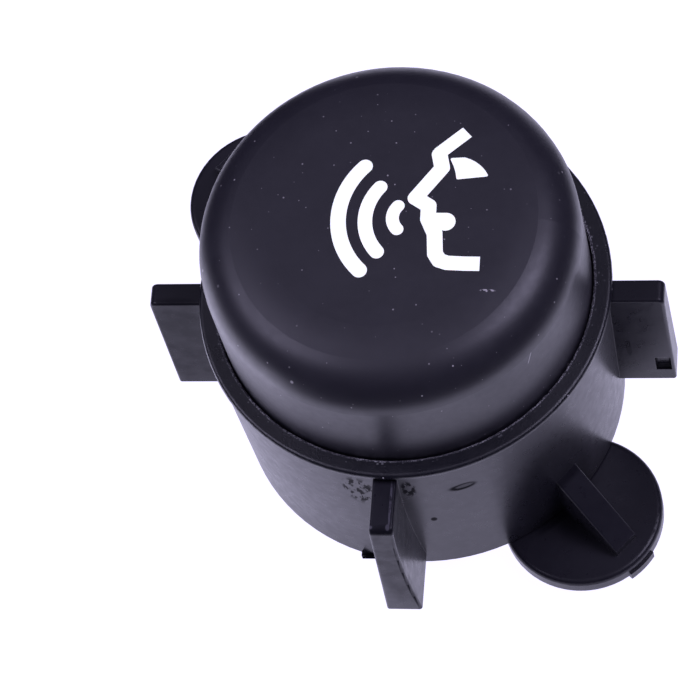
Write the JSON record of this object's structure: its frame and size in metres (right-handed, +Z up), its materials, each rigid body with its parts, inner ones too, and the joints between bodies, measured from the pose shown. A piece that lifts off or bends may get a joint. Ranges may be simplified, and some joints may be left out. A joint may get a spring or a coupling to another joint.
{
  "type": "push button",
  "caption": "Round push button: domed matt black cap with a white voice pictogram, collar ring, and a barrel with four guide tabs and two round ears on gussets.",
  "frame": {"origin": "on the cap's axis, in the plane that the base cover's underside stands on", "axes": "+Z up along the cap's axis, out of the barrel; +X through the short guide tabs, from the sound arcs towards the face; -Y through the long tab beside the low ear"},
  "size_m": [0.0205, 0.0206, 0.0161],
  "materials": {
    "cap": "soft-touch moulded black",
    "legend": "white translucent insert",
    "collar": "satin black",
    "barrel": "satin moulded black",
    "carrier": "moulded dark grey",
    "rubber": "silicone rubber",
    "clear": "clear moulded acrylic",
    "spring_steel": "drawn wire",
    "board": "green solder mask",
    "switch_plastic": "moulded black",
    "switch_can": "tinned pressed steel",
    "stem_plastic": "moulded black",
    "base": "moulded black",
    "led": "phosphor resin",
    "resistor": "ceramic chip",
    "terminal": "tin and gold plated"
  },
  "bodies": {
    "housing": {"housing_barrel": "barrel", "collar_ring": "collar", "cushion_ring": "rubber", "return_spring": "spring_steel", "circuit_board": "board", "switch_base": "switch_plastic", "switch_cover": "switch_can", "switch_spring": "spring_steel", "contact_dome": "switch_can", "base_cover": "base", "led_left": "led", "led_right": "led", "resistor_left": "resistor", "resistor_right": "resistor", "terminal_pin_1": "terminal", "terminal_pin_2": "terminal", "terminal_pin_3": "terminal", "terminal_pin_4": "terminal"},
    "cap": {"cap_shell": "cap", "legend_diffuser": "legend", "cap_carrier": "carrier", "light_guide": "clear"},
    "stem": {"switch_stem": "stem_plastic"}
  },
  "joints": [
    {"name": "cap_press", "type": "slide", "parent": "housing", "child": "cap", "axis": [0, 0, -1], "range_m": [0, 0.001], "stiffness_N_per_m": 1200, "springref_m": -0.00125, "deforming": ["return_spring"]},
    {"name": "stem_press", "type": "slide", "parent": "housing", "child": "stem", "axis": [0, 0, -1], "range_m": [0, 0.001], "stiffness_N_per_m": 10, "springref_m": -0.0005, "deforming": ["switch_spring"]}
  ],
  "couplings": [
    {"joint": "stem_press", "follows": "cap_press", "ratio": 1}
  ]
}
